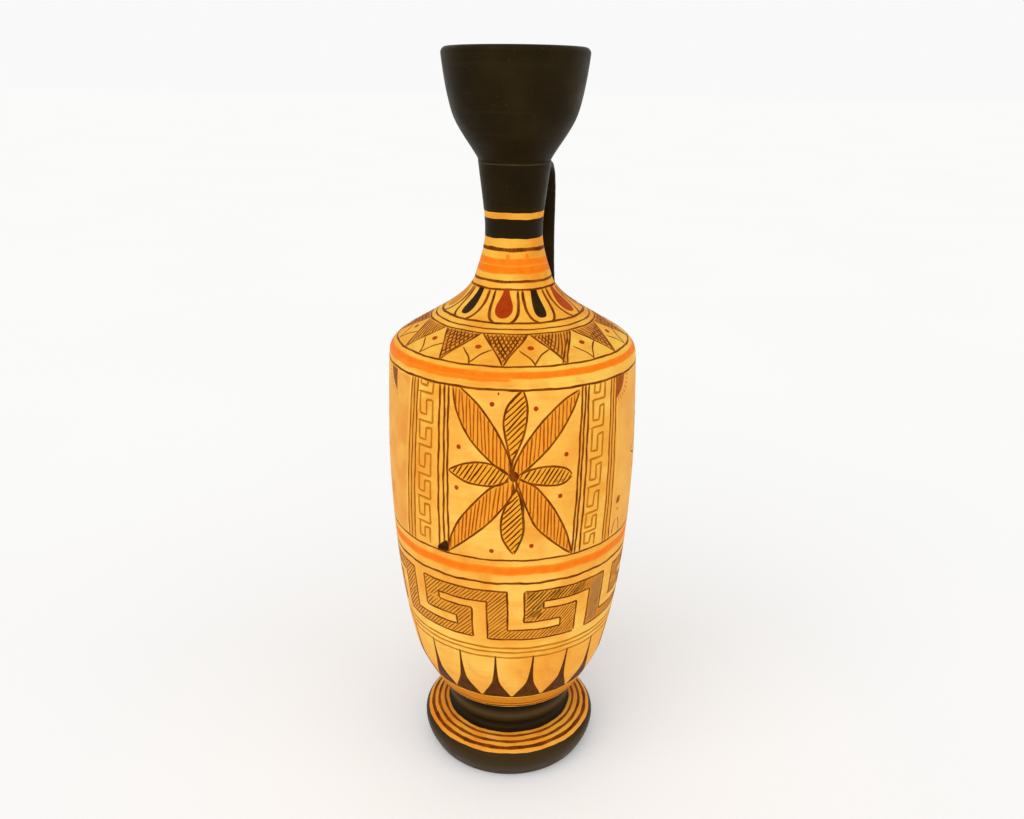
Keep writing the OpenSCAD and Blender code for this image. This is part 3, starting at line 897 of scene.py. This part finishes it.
def paint_rosette(turn, name):
    """Eight leaves round a dark middle; the slanted ones are striped brown and red."""
    lines = Paint(name + "_lines", BROWN, 0.055)
    red, rust = Paint(name + "_red", RED, 0.04), Paint(name + "_rust", RUST, 0.04)
    tint, dots = Paint(name + "_tint", WASH, 0.02), Paint(name + "_dots", MAROON, 0.055)
    olive, smear = Paint(name + "_olive", OLIVE, 0.06), Paint(name + "_smear", GREY, 0.03)

    olive.stroke(flow([(3.4, 114.6), (5.3, 107.1), (5.1, 101.4), (1.9, 95.2)], turn=turn),
                 0.8, (0.4, 0.6))
    smear.fill(on_wall([(phi, 117.2 + 0.03 * phi) for phi in (25, 21.5, 18.5, 15.5)], turn),
               on_wall([(phi, 119.6) for phi in (25.8, 22.5, 19.5, 16.5)], turn), 0.6, 0.9)
    for left, right, *hatching, slanted in PETALS:
        sides = flow(left, turn=turn), flow(right, turn=turn)
        petal(lines, (rust, red) if slanted else (lines,), tint, sides, *hatching, slanted)
    lines.dot(turn + 1.1, 120.9, 3.3, 3.6)
    middle = ((0.6, 126.5), (0.1, 123.5), (1.2, 121), (2.2, 118.5), (1.9, 115.5))
    lines.stroke(flow(middle, turn=turn), 0.9, (0.5, 0.5))
    dots.dot(turn + 1.3, 120.7, 1.5, 1.6, load=0.9)
    for phi, z in ((-8.25, 143.1), (9.9, 141.8), (-22.6, 128.9), (23.5, 126.8), (-23.6, 115.7),
                   (21.1, 113.6), (-8.25, 95.7), (9, 97.6)):
        dots.dot(turn + phi, z, 1.5, 1.55, load=rng.uniform(0.8, 1))
    dots.dot(turn - 5.6, 146.3, 0.6, 0.9)


PANEL_TOP_Z, PANEL_H, PANEL_LOW_Z = 147.2, 54, 92.8
# Corners of one key unit, as shares of the strip's width and down the unit.
KEY_UNIT = ((0.08, 0), (0.08, 0.74), (0.55, 0.76), (0.56, 0.26), (0.95, 0.22), (0.97, 1))
# Upright lines: degrees at the top and at the bottom, then width and load of the group.
UPRIGHTS = (
    (((-31.75, -33.1), (-29.4, -30.7), (-27.5, -28.2), (31.1, 28), (32.75, 29.6), (34.25, 32)),
     0.84, 0.95),
    (((-48.2, -53.9), (-46.3, -51.5), (-44.4, -48.9), (48, 46.1), (49.9, 48), (51.75, 50.75)),
     0.78, 0.68))
# Strips with a running key: sides at the top, sides at the bottom, heights of the bars.
KEY_STRIPS = (((-43.2, -34.8), (-45.6, -38.3), (143.6, 134.5, 126.6, 117.1, 109.3, 100.7, 93.6)),
              ((36.6, 44), (33.6, 40.5), (142, 133.4, 123.4, 114.3, 105.5, 98.9, 93.4)))


def strip_at(top, bottom, z, share):
    """Degrees at height z and a share of the way across a key's strip."""
    left, right = (a + (PANEL_TOP_Z - z) / PANEL_H * (b - a) for a, b in zip(top, bottom))
    return left + share * (right - left)


def paint_borders(turn, name):
    """Upright lines and a running key on both sides of a panel."""
    lines, keys = Paint(name + "_border_lines", BROWN, 0.05), Paint(name + "_keys", LIGHT_BROWN, 0.04)
    tint = Paint(name + "_border_tint", TAN, 0.02)
    for group, width, load in UPRIGHTS:
        for top, bottom in group:
            bow = (top + bottom) / 2 + rng.uniform(-0.25, 0.25)
            points = flow([(top, 147.3), (bow, 120), (bottom, 92.7)], turn=turn)
            lines.stroke(points, width, (0.8, 0.8), 0.13, load)
    for top, bottom in (((-49, -43.6), (-54.6, -48.1)), ((47.3, 52.4), (45.4, 51.4))):
        tint.patch(top, bottom, PANEL_TOP_Z, PANEL_LOW_Z, 50, 0.5, 0.5, turn=turn)
    for top, bottom, bars in KEY_STRIPS:
        points = []
        for high, low in zip((bars[0] + 8.6,) + bars, bars):
            for u, v in KEY_UNIT:
                z = high + v * (low - high)
                phi = strip_at(top, bottom, z, u) + rng.uniform(-0.25, 0.25)
                points.append((phi, min(z, 147.3)))
        keys.stroke(on_wall(points, turn), 0.9, (0.8, 0.6), 0.06, step=0.6)
        for low in bars[:-1]:
            left = strip_at(top, bottom, low, 0)
            tick = on_wall([(left + 1.2, low + 0.1), (left - 0.7, low - 0.2)], turn)
            keys.stroke(tick, 0.8, (1, 0.5), 0.02)


def paint_half_sun(paint, rays, edge, out, load):
    """A quarter disc at a field's top corner, with nine rays towards out."""
    left = [(edge, z) for z in (147, 145, 143, 141.5, 140.2)]
    right = [(edge + out * wide, z) for wide, (_, z) in zip((8, 7.1, 5.6, 3.6, 1), left)]
    paint.fill(*(flow(side, 4) for side in (left, right)[::out]), 0.5, load)
    for k in range(9):
        a = radians(6 + 10.2 * k)
        ray = [(edge + out * cos(a) * d / DEGREE, 147 - sin(a) * d)
               for d in (6.4 + rng.uniform(-0.2, 0.2), 8.8 + rng.uniform(-0.5, 0.5))]
        rays.stroke(on_wall(ray), 0.7, (0.9, 0.5), 0.03, 0.8)


def paint_palmette(lines, dots, middle):
    """Five narrow leaves spread over a dot, with smaller dots round them."""
    for k in range(5):
        a = radians(45 * k)
        tip = (15.5 * cos(a) / DEGREE, 119 + 17 * sin(a))
        for bend in (-2.6, 2.6):
            half = ((8 * cos(a) - bend * sin(a)) / DEGREE, 119 + 9 * sin(a) + bend * cos(a))
            lines.stroke(flow([(0, 119), half, tip], turn=middle), 0.58, (0.7, 0.5), 0.05)
    dots.dot(middle, 118.6, 3, 3)
    for phi, z in ((-9, 133), (9, 133), (-14, 112), (14, 112), (0, 108)):
        dots.dot(middle + phi, z, 1.5, 1.5)


def paint_sides():
    """The fields beside the panels: a half sun, a dab and a sprig at each edge, leaves between."""
    lines, rust = Paint("side_lines", BROWN, 0.045), Paint("side_rust", RUST, 0.05)
    rays, wash = Paint("side_rays", LIGHT_BROWN, 0.045), Paint("side_wash", HONEY, 0.025)
    for edge, out in ((51.4, 1), (-61.5, -1), (129, -1), (-130, 1)):
        root = edge + out * 5.5
        if edge != -61.5:
            paint_half_sun(rust, rays, edge, out, 1)
            for tip in (-3.8, 3):
                leaf = flow([(0.2 * tip, 98.8), (0.7 * tip, 96.6), (tip, 93.2)], turn=root)
                lines.stroke(leaf, 0.75, (0.6, 0.9), 0.05, 0.8)
            rust.dot(root, 105.2, 2.6, 3, 0.2)
            rust.dot(root, 101.8, 1.2, 1.3, load=0.45)
        else:
            paint_half_sun(lines, rays, edge, out, 0.7)
            for tip in (-4.2, 0.3, 4.4):
                sprig = flow([(0, 101.3), (0.3 * tip, 104.6), (tip, 107.8)], turn=root - 5)
                rays.stroke(sprig, 0.7, (1, 0.5), 0.05, 0.8)
    wash.patch((-128.9, -49.2), (-129.9, -54.9), 147.1, 92.8, 60, 1, 0.95)
    wash.patch((52.7, 130.8), (51.7, 125.1), 147.1, 92.8, 60, 1, 0.65)
    for middle in (90, -97):
        paint_palmette(lines, rust, middle)


def paint_body_bands():
    """Bands and lines that go right round the body, and a blot at the panel's corner."""
    orange = Paint("body_orange", ORANGE, 0.03)
    orange.band(150.3, 152.6, 0.14, 0.9)
    doubled = on_wall([(phi, 150.3) for phi in range(-170, 5, 5)])
    orange.stroke(doubled, 1.7, (0.5, 0.05), 0.12, 0.8)
    orange.band(86.9, 90.6, 0.2, 1.1)
    Paint("body_rings", BROWN, 0.05).rings((147.4, 0.85, 1, 0.12, -0.25), (92.5, 0.72),
                                           (84.1, 0.95, 1, 0.2))
    Paint("tongue_rings", LIGHT_BROWN, 0.05).rings((58.5, 0.95), (56.7, 0.85), (54.5, 0.85))
    Paint("panel_blot", DARK, 0.06).fill(
        flow([(-34.4, 92.6), (-34.2, 93.9), (-32.6, 95), (-30.6, 96.2)], 4),
        flow([(-28.8, 92.8), (-27.9, 94.2), (-27.9, 95.6), (-29.4, 96.8)], 4), 0.4)


KEY_PERIOD = 360 / 7
# One unit of the meander's ribbon: degrees from its left edge and heights.
RIBBON_TOP = ((7.9, 81), (51.43, 81), (51.43, 66), (77.7, 66), (77.7, 69.3), (59.3, 69.3),
              (59.3, 81))
RIBBON_LOW = ((34.3, 62.3), (34.3, 73.8), (16.6, 73.8), (16.6, 76.7), (41.8, 76.7), (41.8, 62.3),
              (85.7, 62.3))
RIBBON = RIBBON_TOP[:-1] + ((59.3, 73.8), (85.7, 73.8)) + RIBBON_LOW[:1:-1] + ((7.9, 73.8),)
# The same ribbon cut into plain strips, each ((left, right), low, high).
RIBBON_PARTS = (((7.9, 16.6), 69.3, 81), ((16.6, 51.43), 76.7, 81), ((41.8, 51.43), 66, 76.7),
                ((41.8, 85.7), 62.3, 66), ((77.7, 85.7), 66, 73.8), ((68.03, 77.7), 69.3, 73.8))
# The part of the ribbon that is darker in two of the units.
DARK_PART = ((8.2, 80.8), (39, 80.8), (39, 76.9), (16.4, 76.9), (16.4, 70.5), (8.2, 70.5))


def paint_meander():
    """A broad meander, hatched over an orange wash, in seven units."""
    lines, tint = Paint("meander_lines", BROWN, 0.055), Paint("meander_tint", TAN, 0.02)
    smudge, olive = Paint("meander_smudge", GREY, 0.05), Paint("meander_olive", OLIVE, 0.06)
    for k in range(7):
        start = -52.6 + KEY_PERIOD * k + (0.3 if k == 1 else 0)
        for path in (RIBBON_TOP, RIBBON_LOW):
            points = [(start + t + rng.uniform(-0.2, 0.2), z + rng.uniform(-0.15, 0.15))
                      for t, z in path]
            lines.stroke(on_wall(points), 0.8, (1, 1), 0.1, step=0.7)
        for sides, low, high in RIBBON_PARTS:
            tint.patch(sides, sides, low, high, 8, 0.15, rng.uniform(0.55, 0.95), False, start)
        lines.hatch(on_wall(RIBBON, start), 47, 0.98, 0.44, inset=0.1)
        if k in (1, 4):
            olive.hatch(on_wall(DARK_PART, start), 47, 1.1, 0.62, load=1.1, inset=0.1)
            olive.stroke(on_wall([(16.5, 77), (16.6, 73.6)], start), 0.9)
            smudge.patch((42, 51.3), (42, 51.3), 62.6, 80.7, 8, 1.3, 0.9, turn=start)


def paint_tongues():
    """Nineteen dark spikes that rise from an orange band at the body's base."""
    dark, orange = Paint("tongue_spikes", SPIKE, 0.055), Paint("base_band", SHADED_BASE_ORANGE, 0.03, grain=0.5)
    brown, edge = Paint("base_lines", BROWN, 0.05, grain=0.4), Paint("base_edge", DARK, 0.055, grain=0.4)
    shape = ((34.8, 9.2), (36.2, 7.9), (37.6, 6.7), (39.8, 4.55), (42.6, 2.45), (45.3, 1.55),
             (48.1, 1.05), (51, 0.7), (53.7, 0.55), (55, 0.45))
    # degrees aside and degrees of lean per mm, of the spikes in front
    uneven = {1: (-0.6, 0.03), 2: (-0.8, 0.03), 3: (0, 0.1), 4: (0, 0.06), 5: (1, 0)}
    for k in range(19):
        aside, tilt = uneven.get(k, (0, 0))
        middle = -45.3 + 360 / 19 * k + rng.uniform(-0.5, 0.5) + aside
        lean = rng.uniform(-0.04, 0.04) + tilt
        dark.fill(*leaning(shape, lean, 35, 5, middle), 0.28)
    edge.ring(34.6, 0.7)
    # The base band takes the darker orange, as painted shade under the body's curve.
    orange.band(28.4, 34.1, 0.15, 0.5, 0.8)
    brown.ring(29.9, 1.2, 0.5, step=0.7)
    edge.ring(28.3, 0.8, step=0.7)


def paint_foot():
    """A yellow ring on top of the foot with brown lines."""
    # The ground material darkens this ring as painted shade under the body.
    Paint("foot_yellow", GROUND, 0.03, grain=0.4).band(foot_z(30.05), foot_z(22.4), 0.12, 0.3)
    lines = Paint("foot_lines", BROWN, 0.055, grain=0.4)
    for r, width, load in ((23.9, 1.35, 0.8), (26.15, 1.6, 0.85), (28.35, 2, 1)):
        lines.ring(foot_z(r), width, load, 0.08)


def paint_handle_root():
    """Black glaze brushed on the shoulder round the handle's root."""
    middle = 180 - PANEL_TURN
    left, right = [], []
    for k in range(25):
        t = -1 + k / 12
        half = 21.5 * sqrt(max(1 - abs(t) ** 2.6, 0.01)) * (1 + 0.05 * sin(7 * t))
        w = way_at(159.3) + 4.6 * t
        left.append((middle - half, w))
        right.append((middle + half, w))
    Paint("handle_root_black", GLAZE, 0.07, "black_glaze").fill(left, right, 0.4)


paint_neck()
paint_eggs()
paint_rays()
paint_body_bands()
for panel_turn, panel in ((0, "front"), (180, "back")):
    paint_rosette(panel_turn, panel)
    paint_borders(panel_turn, panel)
paint_sides()
paint_meander()
paint_tongues()
paint_foot()
paint_handle_root()
for paint in paints:
    paint.finish()


# Camera, light and floor.


def make_camera():
    """The photo's camera: 284 mm from the axis, 229 mm up, looking down 19.8 degrees."""
    lens = bpy.data.cameras.new("camera")
    lens.sensor_fit, lens.sensor_width, lens.lens = "HORIZONTAL", 36, 31.64
    lens.clip_start, lens.clip_end = 0.01, 80
    camera = add_to_scene("camera", lens)
    turn, tilt, roll = radians(PANEL_TURN), radians(70.18), radians(0.6)
    away, height = 283.7, 229.46
    place = Vector((away * sin(turn), -away * cos(turn), height)) * MM
    camera.matrix_world = (Matrix.Translation(place) @ Matrix.Rotation(turn, 4, "Z")
                           @ Matrix.Rotation(tilt, 4, "X") @ Matrix.Rotation(roll, 4, "Z"))
    bpy.context.scene.camera = camera


def sun(name, angle, height, power):
    """A broad soft sun, at degrees from the camera's side and degrees above the floor."""
    lamp = bpy.data.lights.new(name, "SUN")
    lamp.angle, lamp.energy = radians(60), power
    turn, up = radians(PANEL_TURN + angle), radians(height)
    towards = Vector((sin(turn) * cos(up), -cos(turn) * cos(up), sin(up)))
    light = add_to_scene(name, lamp)
    light.location = towards
    light.rotation_euler = (-towards).to_track_quat("-Z", "Y").to_euler()


def make_surroundings(level, seen_level):
    """Even pale surroundings, brighter where the camera and the gloss see them."""
    m = Nodes(bpy.data.worlds.new("surroundings"))
    bpy.context.scene.world = m.owner
    path = m.add("ShaderNodeLightPath").outputs
    seen = m.maths("MAXIMUM", path["Is Camera Ray"], path["Is Glossy Ray"])
    strength = m.add("ShaderNodeMapRange", ("To Min", level), ("To Max", seen_level), Value=seen)
    background = m.tree.nodes["Background"]
    m.feed(background, "Color", (1, 1, 1, 1))
    m.feed(background, "Strength", strength.outputs[0])


def make_floor(half=24):
    """A plain pale floor, in metres, that glows a little so that it stays even."""
    m = Surface("floor")
    m.set("Base Color", m.ramp(m.noise(3, 3), (0.3, (249, 249, 248)), (0.7, (251, 251, 250))))
    m.set("Roughness", 0.9)
    m.set("Specular IOR Level", 0)
    m.set("Emission Color", (1, 1, 1, 1))
    m.set("Emission Strength", 0.085)
    mesh = bpy.data.meshes.new("floor")
    corners = [(-half, -half, 0), (half, -half, 0), (half, half, 0), (-half, half, 0)]
    mesh.from_pydata(corners, [], [(0, 1, 2, 3)])
    mesh.materials.append(m.owner)
    floor = add_to_scene("floor", mesh)


make_camera()
sun("key", -32, 46, 1)
sun("fill", 48, 38, 0.45)
make_surroundings(0.6, 0.95)
make_floor()
bpy.context.scene.view_settings.view_transform = "Standard"
